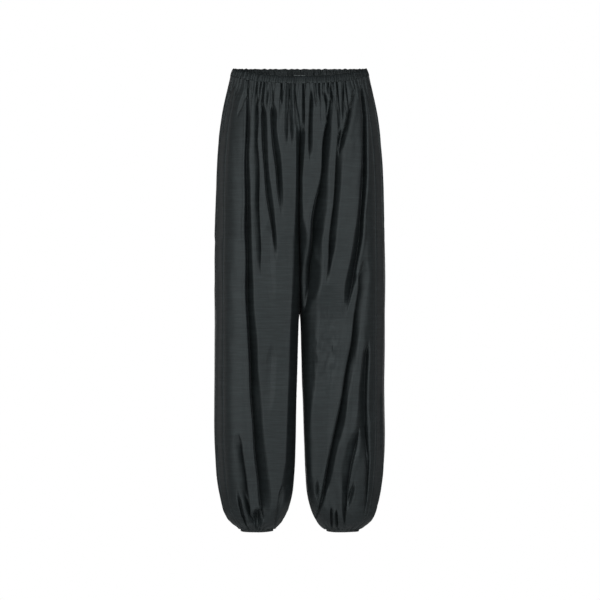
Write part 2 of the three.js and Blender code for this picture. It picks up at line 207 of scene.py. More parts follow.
# Each fold's section: its bottom, walls, lips and low shoulders, and the lean and lap of
# its steeper side
BOTTOM_SOFTNESS = 0.05
LIP_SOFTNESS = 0.2
WALL_ROUND = 0.8
SHOULDER_SHARE = 0.05
SHOULDER_PLACE = 1.7
SHOULDER_WIDTH = 0.6
FOLD_LEAN = 0.65
LEAN_SHARPNESS = 2
FOLD_LAP = 1.3
LAP_OF_DEPTH = 0.45
LAP_RUN = 2.6
LAP_SEAM_REACH = 12.0

# Low creases of crisp cloth: width, length, slant with the drop and with the place along
# the section, depth on the left and on the right leg, and step of the seed. The fine
# ones are as deep as the patch below.
LOW_CREASES = {
    "long": (20, 170, 0, 0, 0.42, 0.42, 0),
    "slanted": (26, 110, 0.45, -0.3, 0.42, 0.42, 1),
    "small": (9, 40, 0, 0, 0.12, 0.3, 2),
    "broad": (60, 170, 0, 0, 1.4, 1.4, 3),
    "fine": (6, 15, 0, 0.5, 1, 1, 4),
}

# Where they fade out: beside the seams, above the hem, and between two drops at the waist
CREASE_SEAM_REACH = 11.0
CREASE_HEM_REACH = 14.0
CREASE_WAIST_DROPS = (18, 32)

# Distance across and drop of the finely crumpled patch by the right knee, how far it
# reaches either way, and its depth. It fades out between two shares of its reach.
CRUMPLED_PATCH = (60, 625, 30, 90, 1.7)
PATCH_FADE = (0.4, 1.2)

# Label
LABEL_COLUMNS = 24
LABEL_ROWS = 28
LABEL_TAPE = 0.5
LABEL_TOP_GAP = 0.5
LABEL_CURL = 0.25
LABEL_RIPPLE = 0.12
LABEL_RIPPLE_RATE = 7

# Width, length and area that each leg panel was cut to, in metres and square metres
FRONT_CUT = (0.33, 1.08, 0.25)
BACK_CUT = (0.44, 1.08, 0.41)

# Smooth random lines: how many waves make up each, and between which rates they lie
WOBBLE_WAVES = 3
WOBBLE_RATES = (0.6, 1.6)

# Seeds of what is random
SEEDS = {
    "left": {"folds": 1000, "waist": 41, "hem": 51, "creases": 61, "pucker": 81, "sag": 94},
    "right": {"folds": 2000, "waist": 42, "hem": 52, "creases": 71, "pucker": 82, "sag": 96},
}
FOLD_GROUP_SEEDS = 100
CASING_WANDER_SEED = 91
CASING_RUFFLE_SEED = 92

# Dupion: its colours, and the scales of its slubs, streaks and broad changes of tone
DUPION_DARK = (0.0088, 0.0106, 0.0110)
DUPION_LIGHT = (0.0150, 0.0180, 0.0187)
SLUB_SCALE = (22, 22, 620)
STREAK_SCALE = (26, 26, 330)
TONE_SCALE = (5, 5, 3)
LABEL_RIB_SCALE = (900, 900, 2600)

# Camera, floor and surroundings
IMAGE_WIDTH_AT_GARMENT = 1.323
CAMERA_ACROSS = 0.0005
CAMERA_DISTANCE = 5.0
CAMERA_HEIGHT = -0.51
SENSOR_WIDTH = 36.0
FLOOR_HEIGHT = -2.6
FLOOR_HALF = 30.0
FLOOR_TONE = 0.7
SURROUNDINGS = (0.93, 0.97, 1.0)
SURROUNDINGS_STRENGTH = 0.05

# Soft lights: angle from straight ahead of the front, distance, height, width and height
# of the panel, brightness, colour, and the height that it points at
COOL = (0.87, 0.975, 1.0)
NEUTRAL = (1, 1, 1)
LIGHTS = {
    "front": (0, 6.5, 0.15, (4.4, 3.6), 1.06, COOL, -0.5),
    "front_high": (0, 4.2, 2.5, (4.6, 1.8), 1.40, COOL, 0),
    "front_low": (0, 1.7, -2.0, (2.6, 1.2), 0.60, COOL, -0.9),
    "front_left": (-44, 3.6, 0.0, (3.2, 3.2), 1.42, COOL, -0.5),
    "front_right": (43, 3.6, 0.0, (3.1, 3.2), 1.15, COOL, -0.5),
    "side_left": (-112, 3.6, -0.2, (2.4, 3.2), 0.40, NEUTRAL, -0.5),
    "side_right": (112, 3.6, -0.2, (2.4, 3.2), 0.25, NEUTRAL, -0.5),
    "back": (180, 4.5, 0.2, (4.0, 3.2), 0.90, NEUTRAL, -0.5),
}

# Sections of one leg: drop, outer, inner, front, back
SECTIONS = np.array([
    (17.8, 153.2, 0, 105, 107),
    (55, 162, 0, 109, 115),
    (105, 172, 0, 112, 124),
    (160, 178.5, 0.2, 114, 131),
    (220, 183, 0.5, 115, 134),
    (285, 185.3, 0.5, 115, 132),
    (345, 185.8, 0.5, 114, 126),
    (385, 186.5, 0.5, 113, 121),
    (440, 187.5, 0.5, 111, 115),
    (505, 187.5, 0.6, 110, 111),
    (580, 187.5, 2.8, 108, 108),
    (660, 187.5, 4.6, 106, 106),
    (740, 187.5, 7.2, 105, 105),
    (815, 186.8, 9.6, 103, 103),
    (880, 183.5, 12, 99, 99),
    (925, 178.8, 15, 93, 93),
    (955, 173.2, 20.5, 86, 86),
    (978, 167, 28, 77, 77),
    (995, 157.5, 36.8, 66, 66),
    (1007, 144.5, 45.5, 52, 52),
    (1015, 134, 55, 40.5, 40.5),
    (1011.5, 133.2, 55.8, 38.7, 38.7),
    (1005.8, 130.4, 58.6, 35.9, 35.9),
])

# Folds: from and to which drop, the distance across at the top, middle and bottom, the
# half width at the top and bottom, the depth, and which side of it is the steeper: 1 is
# the side nearer the front end of the cloth, -1 is the other, and 0 is neither
FRONT_FOLDS = {
    "left": [
        (2, 1012, 112, 108, 69, 2.6, 10.2, 12, -1),
        (4, 470, 95, 94, 87.5, 3, 5, 6, 1),
        (60, 430, 79, 70, 46, 4.5, 4, 6.5, -1),
        (2, 92, 74, 80, 82, 2, 2.2, 3.5, -1),
        (18, 76, 66, 70, 72, 2, 2, 3, 1),
        (58, 340, 58, 49, 34, 5, 5, 7.5, -1),
        (8, 78, 57, 57, 57, 2, 2, 2.6, -1),
        (4, 180, 27.5, 28.5, 29.5, 2.6, 3, 4.2, 1),
        (2, 180, 18.5, 17.5, 13, 2.2, 3, 4, -1),
        (6, 146, 15.5, 10, 3.5, 2, 3, 4, 1),
        (2, 70, 38.5, 38.5, 37.5, 2.2, 2.2, 3.5, -1),
        (30, 108, 108, 108, 107, 2.4, 2, 3, 1),
        (30, 100, 116, 126, 136, 2.6, 3, 3.2, 1),
        (800, 1004, 137, 124, 108, 7, 7, 9, 1),
        (925, 1013, 134, 126, 112, 3.5, 3, 6, -1),
        (930, 1013, 123, 111, 100, 3, 3, 5, 1),
        (960, 1014, 91, 91, 91, 9, 8, 11, 0),
        (912, 1012, 36, 44, 56, 3.5, 3.5, 6, -1),
        (600, 760, 60, 64, 66, 9, 9, 2.6, 0),
        (330, 520, 62, 64, 58, 10, 9, 2.4, 0),
    ],
    "right": [
        (28, 215, 27.5, 24, 25, 3.2, 4.2, 6, 1),
        (2, 148, 7, 8.5, 4, 2.2, 3, 4.2, -1),
        (2, 76, 35, 34, 38.5, 2.2, 2.6, 3.6, 1),
        (2, 52, 42, 42, 43, 2, 2.2, 3, -1),
        (2, 46, 51, 50.5, 49, 2, 2, 2.8, 1),
        (24, 124, 48, 62, 56.5, 2.4, 3.4, 4.4, 1),
        (2, 44, 61.5, 61, 61, 2, 2, 2.8, -1),
        (4, 545, 72, 49, 14, 2.5, 14, 15, 1),
        (2, 196, 83, 85, 90, 2.2, 3, 4, 1),
        (122, 480, 93, 79, 60, 7, 4.5, 9, 1),
        (24, 186, 121, 107, 88.5, 3, 5, 6.8, 1),
        (26, 92, 104, 107, 111, 2.4, 2.4, 3, 1),
        (4, 112, 94, 94, 93, 2.2, 2.2, 3, -1),
        (24, 548, 135, 137, 92, 4.5, 7.5, 10.5, -1),
        (427, 1004, 143, 98.5, 31, 8, 4.6, 11, 1),
        (784, 1013, 126, 99, 100, 10.5, 2.5, 10, -1),
        (904, 968, 118, 110, 103, 4, 4, 6, 0),
        (960, 1013, 69, 69, 70, 3, 3, 7, 1),
        (964, 1013, 79.5, 80, 82, 3, 3, 7, -1),
        (900, 945, 34, 35, 36, 4, 4, 5, 0),
        (600, 880, 147, 138, 138, 5, 14, 7.5, -1),
        (760, 985, 150, 149, 138, 3.5, 3.5, 4.5, -1),
        (630, 800, 120, 116, 110, 9, 9, 2.6, 0),
        (470, 1000, 62, 60, 62, 34, 34, 7, 0),
    ],
}

BACK_FOLDS = {
    "left": [
        (30, 945, 104, 112, 79, 5.5, 10, 10, 1),
        (50, 440, 70, 64, 46, 4.5, 5, 7, -1),
        (38, 300, 42, 40, 30, 3.5, 4, 4.5, -1),
        (30, 210, 128, 126, 118, 3.5, 4, 4.5, 1),
        (318, 872, 139, 112, 57, 6.5, 8, 10, -1),
        (770, 1008, 122, 106, 94, 7, 5, 9, 1),
        (550, 740, 52, 58, 65, 8, 8, 4, 0),
        (45, 160, 18, 16, 12, 2.6, 3, 3, 1),
        (40, 120, 86, 87, 89, 2.6, 3, 3, -1),
        (905, 1010, 70, 73, 82, 5, 5, 5, 0),
    ],
    "right": [
        (36, 715, 116, 121, 91, 5.5, 9, 10, -1),
        (36, 475, 88, 80, 57, 4.5, 6, 8, 1),
        (50, 270, 53, 50, 43, 3.5, 4, 4.5, 1),
        (30, 180, 136, 133, 124, 3.5, 4, 4, -1),
        (418, 972, 138, 98, 49, 6.5, 7.5, 10, 1),
        (52, 200, 28, 27, 27, 3, 3, 3.5, 1),
        (800, 1008, 120, 105, 96, 6.5, 5, 8, -1),
        (600, 770, 58, 62, 60, 9, 9, 3.5, 0),
        (44, 130, 70, 69, 66, 2.6, 3, 3, -1),
        (915, 1010, 68, 71, 80, 5, 5, 5, 0),
    ],
}

# Folds of the sides, whose place is measured along the cloth behind the outseam
SIDE_FOLDS = {
    "left": [
        (30, 575, 34, 46, 73, 4.5, 6, 7, 1),
        (458, 945, 97, 84, 57, 6, 8, 8, -1),
        (38, 262, 74, 78, 84, 4.5, 5, 5.5, 0),
        (820, 1000, 30, 34, 28, 6, 4, 6, 0),
        (40, 150, 16, 18, 20, 2.6, 3, 3, 1),
    ],
    "right": [
        (34, 435, 42, 38, 61, 4.5, 6, 7, -1),
        (368, 915, 70, 92, 75, 6, 8, 8, 1),
        (850, 1004, 44, 50, 45, 6, 4, 6.5, 0),
        (40, 190, 80, 82, 88, 3, 4, 4, -1),
        (700, 860, 22, 26, 24, 7, 7, 3, 0),
    ],
}

# How the legs' inner corners are turned in: at a drop, how wide the turned strip is and
# how deep it is pressed at the seam between the legs
INNER_TURN = {
    "left": np.array([
        (112, 5, 0), (134, 7, 11), (186, 6, 11), (250, 5, 8), (400, 6, 8), (480, 10, 14),
        (560, 15, 22), (860, 16, 22), (930, 24, 22), (975, 26, 14), (1010, 10, 0),
    ]),
    "right": np.array([
        (112, 7, 0), (134, 11, 17), (186, 9, 15), (250, 6, 9), (330, 8, 9), (400, 22, 18),
        (440, 38, 27), (520, 38, 30), (560, 34, 30), (640, 29, 27), (720, 20, 20),
        (790, 9, 9), (900, 8, 6), (1010, 6, 0),
    ]),
}


def ease(start, end, value):
    """A smooth rise from 0 at the start to 1 at the end."""
    t = np.clip((np.asarray(value, float) - start) / (end - start), 0, 1)
    return t * t * (3 - 2 * t)


def mix(a, b, share):
    """A value between two: the first for a share of 0, the second for 1."""
    return a + (b - a) * share


def rounding(share, power):
    """A quarter of a rounded section: 1 in the middle and 0 at the edge."""
    return np.power(np.clip(1 - np.power(np.abs(share), power), 0, None), 1 / power)


def table_at(rows):
    """The section table's columns on a smooth curve through its rows."""
    last = len(SECTIONS) - 1
    start = np.minimum(rows.astype(int), last - 1)
    t = (rows - start)[:, None]
    a, b, c, d = (SECTIONS[np.clip(start + step, 0, last)] for step in (-1, 0, 1, 2))
    into, out = (c - a) / 2, (d - b) / 2
    square, cube = t ** 2, t ** 3
    return ((2 * cube - 3 * square + 1) * b + (cube - 2 * square + t) * into
            + (3 * square - 2 * cube) * c + (cube - square) * out)


class Wobble:
    """A smooth random line from -1 to 1, the same on each run."""

    def __init__(self, seed, length):
        rng = np.random.default_rng(seed)
        self.waves = [(rng.uniform(*WOBBLE_RATES) * 2 * math.pi / length, rng.uniform(0, 2 * math.pi))
                      for _ in range(WOBBLE_WAVES)]

    def __call__(self, place):
        return sum(np.sin(rate * place + phase) for rate, phase in self.waves) / len(self.waves)


def smooth_noise(u, v, seed):
    """Smooth random values from -1 to 1 over two coordinates, with features about 1 across."""
    rng = np.random.default_rng(seed)
    u = u - u.min()
    v = v - v.min()
    lattice = rng.uniform(-1, 1, (int(u.max()) + 3, int(v.max()) + 3))
    i, j = u.astype(int), v.astype(int)
    s, t = u - i, v - j
    s, t = s * s * (3 - 2 * s), t * t * (3 - 2 * t)
    low = mix(lattice[i, j], lattice[i + 1, j], s)
    high = mix(lattice[i, j + 1], lattice[i + 1, j + 1], s)
    return mix(low, high, t)


def ring_rows():
    """Each ring's row in the section table, and its height above the hem along the cloth.

    The rings are closer together on the balloon end.
    """
    fine = np.linspace(0, len(SECTIONS) - 1, TABLE_STEPS)
    sizes = table_at(fine)
    steps = np.hypot(np.diff(sizes[:, 0]), np.diff(sizes[:, 1] - sizes[:, 2]) / 2)
    along = np.concatenate([[0], np.cumsum(steps)])
    turn = np.interp(END_START_ROW, fine, along)
    straight = np.linspace(0, turn, LEG_RINGS)[:-1]
    balloon = np.linspace(turn, along[-1], END_RINGS)
    places = np.concatenate([straight, balloon])
    return np.interp(places, along, fine), along[-1] - places


class LegForm:
    """The smooth form of one leg's cloth, on a grid of rings and columns.

    Columns run from the front end of the cloth round the outside to the back end. The
    form is made for the right-hand leg, and the other one is its mirror image.
    """

    def __init__(self, inner_round):
        self.inner_round = inner_round
        self.rows, self.above_hem = ring_rows()
        sizes = table_at(self.rows)
        self.drop, self.outer, self.inner, self.front, self.back = sizes.T
        self.measure_sections()
        self.place_columns()
        self.points = self.points_at(self.places)
        self.onward, self.inward = self.directions()

    def cleft(self, start):
        """How far the legs have parted at each ring: 0 above the cleft, 1 at the crotch."""
        t = np.clip((self.drop - start) / (CROTCH_DROP - start), 0, 1)
        first = CLEFT_SHARE * ease(start, start + CLEFT_RUN, self.drop)
        return mix(1 - np.sqrt(1 - t * t), 1, first)

    def stand_out(self, x, depth, cleft):
        """How far the section stands out in front or behind, at each distance across."""
        outer, inner = self.outer[:, None], self.inner[:, None]
        middle = (outer + inner) / 2
        across = (x - middle) / (outer - middle)
        settled = ease(LEGS_FORM_DROP, ROUND_SETTLED_DROP, self.drop)[:, None]
        torso = rounding(x / outer, TORSO_ROUND)
        outside = mix(torso, rounding(np.maximum(0, across), LEG_ROUND), settled)
        power, start, end = self.inner_round
        leg_round = mix(CLEFT_ROUND, power, ease(start, end, self.drop)[:, None])
        at_hem = ease(BALLOON_DROP, HEM_TOP_DROP, self.drop)[:, None]
        inside = rounding(np.minimum(0, across), mix(leg_round, LEG_ROUND, at_hem))
        return depth[:, None] * outside * mix(1, inside, cleft[:, None])

    def measure_sections(self):
        """Each ring as a fine polyline, with the distance along it."""
        turn = np.pi * np.arange(SECTION_STEPS + 1) / SECTION_STEPS
        x = mix(self.inner[:, None], self.outer[:, None], (1 - np.cos(turn)) / 2)
        front = -self.stand_out(x, self.front, self.cleft(FRONT_CLEFT_DROP))
        back = self.stand_out(x, self.back, self.cleft(BACK_CLEFT_DROP))
        self.x = np.hstack([x, x[:, -2::-1]])
        self.y = np.hstack([front, back[:, -2::-1]])
        steps = np.hypot(np.diff(self.x), np.diff(self.y))
        self.along = np.hstack([np.zeros((len(x), 1)), np.cumsum(steps, axis=1)])
        self.length = self.along[:, -1]
        self.outseam = self.place_on_front(OUTSEAM_SHARE * self.outer)
        self.front_corner = self.place_on_front(self.inner + CORNER_REACH)
        self.back_corner = self.place_on_back(self.inner + CORNER_REACH)

    def place_on_front(self, across):
        """Distance along each section to a distance across, on the front."""
        half = SECTION_STEPS + 1
        return np.array([np.interp(a, x[:half], along[:half])
                         for a, x, along in zip(across, self.x, self.along)])

    def place_on_back(self, across):
        """Distance along each section to a distance across, on the back."""
        half = SECTION_STEPS
        return np.array([np.interp(a, x[half:][::-1], along[half:][::-1])
                         for a, x, along in zip(across, self.x, self.along)])

    def place_behind_outseam(self, distance):
        """Distance along each section to a distance behind the outseam."""
        return self.outseam + distance

    def place_columns(self):
        """Even columns on each panel's face, and more on its wall beside the other leg."""
        wall = np.linspace(0, 1, WALL_COLUMNS + 1)
        front_face = np.linspace(0, 1, FRONT_COLUMNS - WALL_COLUMNS)
        back_face = np.linspace(0, 1, BACK_COLUMNS - WALL_COLUMNS)
        seam, end = self.outseam[:, None], self.length[:, None]
        front_corner, back_corner = self.front_corner[:, None], self.back_corner[:, None]
        self.places = np.hstack([
            mix(0, front_corner, wall[:-1]),
            mix(front_corner, seam, front_face),
            mix(seam, back_corner, back_face),
            mix(back_corner, end, wall[1:]),
        ])

    def points_at(self, places):
        """Points of the form at distances along each section."""
        x = np.array([np.interp(p, a, v) for p, a, v in zip(places, self.along, self.x)])
        y = np.array([np.interp(p, a, v) for p, a, v in zip(places, self.along, self.y)])
        rise = waist_rise(y) * (1 - ease(SECTIONS[0, 0], DIP_REACH, self.drop))[:, None]
        return np.stack([x, y, rise - self.drop[:, None]], axis=-1)

    def directions(self):
        """Unit directions along the section and into the cloth at each point."""
        onward = self.points_at(self.places + 1) - self.points_at(self.places - 1)
        down = np.gradient(self.points, axis=0)
        inward = np.cross(onward, down)
        inward[..., 2] *= np.minimum(1, self.rows)[:, None]
        return (grid / np.linalg.norm(grid, axis=-1, keepdims=True) for grid in (onward, inward))

    def shared_shift(self):
        """How far both legs' inner walls move the same way along their shared line."""
        x, y = self.points[..., 0], self.points[..., 1]
        near = 1 - ease(0, SHARED_WAVE_REACH, x - self.inner[:, None])
        shown = ease(FRONT_CLEFT_DROP, CROTCH_DROP, self.drop)
        shown *= 1 - ease(LEGS_PART_DROP, ROUND_SETTLED_DROP, self.drop)
        return SHARED_WAVE * np.sin(2 * np.pi * y / SHARED_WAVE_LENGTH) * near * shown[:, None]


def waist_rise(y):
    """Height of the waist edge above the origin, for a point y in front or behind."""
    depth = np.where(y < 0, SECTIONS[0, 3], SECTIONS[0, 4])
    share = np.power(np.minimum(1, np.abs(y) / depth), np.where(y < 0, DIP_CURVE, RISE_CURVE))
    return share * np.where(y < 0, -FRONT_DIP, BACK_RISE)


def crease(distance):
    """A crease's depth: 1 at its bottom, walls steeper toward their edges, and then 0."""
    wall = 1 + BOTTOM_SOFTNESS - np.sqrt(distance ** 2 + BOTTOM_SOFTNESS ** 2)
    lip = (np.clip(wall, -LIP_SOFTNESS, LIP_SOFTNESS) + LIP_SOFTNESS) ** 2 / (4 * LIP_SOFTNESS)
    return np.where(wall > LIP_SOFTNESS, wall, lip) ** WALL_ROUND


def leaning_crease(distance, lean):
    """A leaning crease's depth, its distance with the lean taken out, and its lap.

    The lap is how far the cloth on the steeper side slides over the crease's bottom, as a
    share of its most, and its sign is the way along the section.
    """
    sided = distance / (1 + lean * np.tanh(LEAN_SHARPNESS * distance))
    steep = np.maximum(0, -np.sign(lean) * sided)
    lap = np.where(steep < 1, steep, 1 - ease(1, LAP_RUN, steep))
    return crease(sided), sided, lap * np.sign(lean)


def change_along(wander, drop, change):
    """A factor about 1 that changes along a fold's wandering line."""
    size, rate, start = change
    return 1 + size * wander(drop * rate + start)


def press_fold(leg, fold, place, seed):
    """How deep one fold presses in, and how far its cloth slides along, at each point."""
    start, end, top, middle, bottom, half_top, half_bottom, depth, steeper_side = fold
    t = np.clip((leg.drop - start) / (end - start), 0, 1)
    active = (leg.drop > start) & (leg.drop < end) & (leg.above_hem > FOLD_ABOVE_HEM)
    if not active.any():
        return 0, 0
    bend = 2 * (top + bottom - 2 * middle)
    across = top + (bottom - top - bend) * t + bend * t * t
    wander = Wobble(seed, FOLD_WANDER_LENGTH)
    centre = place(across) + FOLD_WANDER * wander(leg.drop) * min(1, depth / FULL_WANDER_DEPTH)
    run_in = min(FOLD_RUN_IN + 2 * half_top, FOLD_RUN_IN_SHARE * (end - start))
    run_out = min(FOLD_RUN_OUT, FOLD_RUN_OUT_SHARE * (end - start))
    taper = ease(start, start + run_in, leg.drop) * (1 - ease(end - run_out, end, leg.drop))
    half = FOLD_WIDTH * mix(half_top, half_bottom, t) * change_along(wander, leg.drop, WIDTH_CHANGE)
    half = half * mix(FOLD_END_WIDTH, 1, taper)
    strength = np.minimum(FOLD_DEPTH * depth * taper ** FOLD_END_POWER, DEPTH_OF_WIDTH * half)
    strength *= change_along(wander, leg.drop, DEPTH_CHANGE)
    lean = FOLD_LEAN * steeper_side
    if steeper_side:
        centre = centre - steeper_side * half
        half = 2 * half / (1 + FOLD_LEAN)
    distance = (leg.places - centre[:, None]) / half[:, None]
    creased, sided, lap = leaning_crease(distance, lean)
    shoulder = np.exp(-((np.abs(sided) - SHOULDER_PLACE) / SHOULDER_WIDTH) ** 2)
    strength = np.where(active, strength, 0)
    slide = np.minimum(FOLD_LAP * half * (1 - abs(lean)), LAP_OF_DEPTH * strength)
    return strength[:, None] * (creased - SHOULDER_SHARE * shoulder), slide[:, None] * lap


def all_folds(leg, side):
    """Depth and slide of all the folds of one leg, added up."""
    depth, slide = np.zeros_like(leg.places), np.zeros_like(leg.places)
    groups = [
        (FRONT_FOLDS[side], leg.place_on_front),
        (BACK_FOLDS[side], leg.place_on_back),
        (SIDE_FOLDS[side], leg.place_behind_outseam),
    ]
    for group_number, (folds, place) in enumerate(groups, start=1):
        group_seed = SEEDS[side]["folds"] + FOLD_GROUP_SEEDS * group_number
        for number, fold in enumerate(folds):
            pressed, slid = press_fold(leg, fold, place, group_seed + number)
            depth += pressed
            slide += slid
    return depth, slide


def inner_turn(leg, side):
    """How far the cloth beside the seam between the legs is drawn back, along Y."""
    drops, reaches, depths = INNER_TURN[side].T
    across = leg.points[..., 0] - leg.inner[:, None]
    on_front = leg.places < leg.outseam[:, None]
    drawn = np.zeros_like(leg.places)
    for lag, on_face, face in ((0, on_front, leg.front), (BACK_TURN_LAG, ~on_front, leg.back)):
        lagged = drops + lag * (1 - ease(CROTCH_DROP, LEGS_PART_DROP, drops))
        reach = np.interp(leg.drop, lagged, reaches)[:, None]
        share = (np.interp(leg.drop, lagged, depths) / face)[:, None]
        drawn -= leg.points[..., 1] * share * on_face * crease(across / reach)
    return drawn


def gather_lines(side):
    """The waist's fine gathers: share of the half waist, depth, reach and drift of each."""
    rng = np.random.default_rng(SEEDS[side]["waist"])
    count = WAIST_GATHERS
    share = (np.arange(count) + 0.5 + rng.uniform(-GATHER_SHIFT, GATHER_SHIFT, count)) / count
    deep = rng.uniform(*GATHER_DEPTHS, count)
    reach = GATHER_REACH + rng.exponential(GATHER_MORE_REACH, count)
    reach[rng.choice(count, LONG_GATHERS, replace=False)] *= 2
    drift = rng.normal(0, GATHER_DRIFT, count)
    return share, deep, np.minimum(reach, GATHER_MOST_REACH), drift


def waist_gathers(leg, side):
    """Every second gather of the casing runs on down into the cloth."""
    depth, slide = np.zeros_like(leg.places), np.zeros_like(leg.places)
    below = leg.drop - SECTIONS[0, 0]
    for share, deep, reach, drift in zip(*(values[::2] for values in gather_lines(side))):
        rings = below < reach
        t = below[rings] / reach
        centre = share * leg.length[rings] + drift * t
        half = GATHER_HALF * (1 + GATHER_WIDENING * t)
        strength = GATHER_DEPTH * deep * (1 - ease(GATHER_FADE, 1, t))
        distance = (leg.places[rings] - centre[:, None]) / half[:, None]
        creased, _, lap = leaning_crease(distance, math.copysign(FOLD_LEAN, drift))
        depth[rings] += strength[:, None] * creased
        most = np.minimum(FOLD_LAP * half * (1 - FOLD_LEAN), LAP_OF_DEPTH * strength)
        slide[rings] += most[:, None] * lap
    return depth, slide


def hem_lines(side):
    """The hem's gathers: share of the way round, depth and reach of each."""
    rng = np.random.default_rng(SEEDS[side]["hem"])
    shift = rng.uniform(-HEM_GATHER_SHIFT, HEM_GATHER_SHIFT, HEM_WAVES)
    share = (np.arange(HEM_WAVES) + 0.5 + shift) / HEM_WAVES
    deep = rng.uniform(*HEM_GATHER_DEPTHS, HEM_WAVES)
    reach = HEM_GATHER_REACH + rng.exponential(HEM_GATHER_MORE_REACH, HEM_WAVES)
    return share, deep, np.minimum(reach, HEM_GATHER_MOST_REACH)


def hem_gathers(leg, side):
    """Gathers that spread from the hem casing up over the balloon end."""
    depth = np.zeros_like(leg.places)
    for share, deep, reach in zip(*hem_lines(side)):
        rings = leg.above_hem < reach
        t = leg.above_hem[rings] / reach
        centre = share * leg.length[rings]
        half = HEM_GATHER_HALF + HEM_GATHER_WIDENING * t
        fade = 1 - ease(HEM_GATHER_FADE, 1, t)
        strength = HEM_GATHER_DEPTH * deep * ease(0, HEM_GATHER_RISE, t) * fade
        distance = (leg.places[rings] - centre[:, None]) / half[:, None]
        depth[rings] += strength[:, None] * np.exp(-np.abs(distance) ** HEM_GATHER_POWER)
    return depth


def patch(across, drop, sizes):
    """The depth of a patch that fades out all round."""
    middle_across, middle_drop, half_width, half_height, deep = sizes
    radius = np.hypot((across - middle_across) / half_width, (drop - middle_drop) / half_height)
    return deep * (1 - ease(*PATCH_FADE, radius))


def low_creases(leg, side, kind):
    """One kind of low uneven crease."""
    width, length, slant, turn, left, right, seed_step = LOW_CREASES[kind]
    u, v = leg.places, np.broadcast_to(leg.drop[:, None], leg.places.shape)
    seed = SEEDS[side]["creases"] + seed_step
    noise = smooth_noise((u + slant * v) / width, (v + turn * u) / length, seed)
    return noise * (left if side == "left" else right)


def crumples(leg, side):
    """Low uneven creases of crisp cloth, and fine ones in the patch by the right knee."""
    kinds = ("long", "slanted", "small", "broad")
    long, slanted, small, broad = (low_creases(leg, side, kind) for kind in kinds)
    if side == "right":
        on_front = leg.places < leg.outseam[:, None]
        fine = low_creases(leg, side, "fine") * on_front
        small += fine * patch(leg.points[..., 0], leg.drop[:, None], CRUMPLED_PATCH)
    return long + slanted + small + broad


def seam_groove(leg, edge_distance, side):
    """The cloth dips along its seams, and puckers a little on either side of them."""
    groove = SEAM_GROOVE_DEPTH * np.exp(-(edge_distance / SEAM_GROOVE_HALF) ** 2)
    pucker = np.exp(-((edge_distance - PUCKER_PLACE) / PUCKER_WIDTH) ** 2)
    line = Wobble(SEEDS[side]["pucker"], PUCKER_LENGTH)(leg.drop[:, None]) * PUCKER_DEPTH
    return groove + pucker * line


def inner_face(outer, inward):
    """The cloth's inner face, about one thickness in from its folded outer face."""
    normal = np.cross(np.gradient(outer, axis=1), np.gradient(outer, axis=0))
    normal /= np.linalg.norm(normal, axis=-1, keepdims=True) + 1e-9
    direction = normal + inward
    return outer + CLOTH * direction / np.linalg.norm(direction, axis=-1, keepdims=True)


def cloth_points(leg, side):
    """Outer and inner points of one leg's cloth, with its folds, in millimetres."""
    from_middle = np.minimum(leg.places, leg.length[:, None] - leg.places)
    edge = np.minimum(np.abs(leg.places - leg.outseam[:, None]), from_middle)
    clear = ease(0, CREASE_SEAM_REACH, edge)
    ends = (ease(0, CREASE_HEM_REACH, leg.above_hem) * ease(*CREASE_WAIST_DROPS, leg.drop))[:, None]
    folded, fold_slide = all_folds(leg, side)
    gathered, gather_slide = waist_gathers(leg, side)
    depth = (folded * ease(0, FOLD_SEAM_REACH, edge) + gathered + hem_gathers(leg, side)
             + crumples(leg, side) * clear * ends + seam_groove(leg, edge, side) * ends)
    slide = (fold_slide + gather_slide) * ease(0, LAP_SEAM_REACH, edge)
    pressed = leg.inward * depth[..., None] + leg.onward * slide[..., None]
    pressed[..., 1] += inner_turn(leg, side)
    at_centre = 1 - ease(0, CENTRE_SEAM_REACH, from_middle)
    at_centre *= (1 - ease(*CENTRE_SEAM_END, leg.drop))[:, None]
    outer = leg.points + pressed
    outer[..., 0] = mix(outer[..., 0], -CENTRE_SEAM_LAP, at_centre)
    inner = inner_face(outer, leg.inward)
    mirror = -1 if side == "left" else 1
    for grid in (outer, inner):
        grid[..., 0] = grid[..., 0] * mirror + leg.shared_shift()
    return [np.concatenate([grid[:1] + (0, 0, TUCK), grid]) for grid in (outer, inner)]


def new_object(name, points, quads, flat=0):
    """A smooth mesh object from points in millimetres. Its last faces may be shaded flat."""
    mesh = bpy.data.meshes.new(name)
    points = np.asarray(points, float).reshape(-1, 3) * METRE
    quads = np.asarray(quads, np.int32).reshape(-1, 4)
    mesh.vertices.add(len(points))
    mesh.vertices.foreach_set("co", points.ravel())
    mesh.loops.add(quads.size)
    mesh.loops.foreach_set("vertex_index", quads.ravel())
    mesh.polygons.add(len(quads))
    mesh.polygons.foreach_set("loop_start", np.arange(0, quads.size, 4, dtype=np.int32))
    mesh.update(calc_edges=True)
    mesh.validate()
    mesh.polygons.foreach_set("use_smooth", np.arange(len(quads)) < len(quads) - flat)
    obj = bpy.data.objects.new(name, mesh)
    bpy.context.collection.objects.link(obj)
    return obj


def grid_quads(rows, columns, offset=0, wrap_rows=False, wrap_columns=False):
    """The faces of a grid of points, which may close on itself either way."""
    i = np.arange(rows if wrap_rows else rows - 1)[:, None]
    j = np.arange(columns if wrap_columns else columns - 1)[None, :]
    next_i, next_j = (i + 1) % rows, (j + 1) % columns
    corners = [i * columns + j, i * columns + next_j, next_i * columns + next_j, next_i * columns + j]
    return offset + np.stack(np.broadcast_arrays(*corners), axis=-1).reshape(-1, 4)


def enclosed_volume(points, quads):
    """The volume within closed faces, below 0 if they face inwards."""
    a, b, c, d = (points[quads[:, k]] for k in range(4))
    parts = np.einsum("ij,ij->i", a, np.cross(b, c)) + np.einsum("ij,ij->i", a, np.cross(c, d))
    return parts.sum() / 6


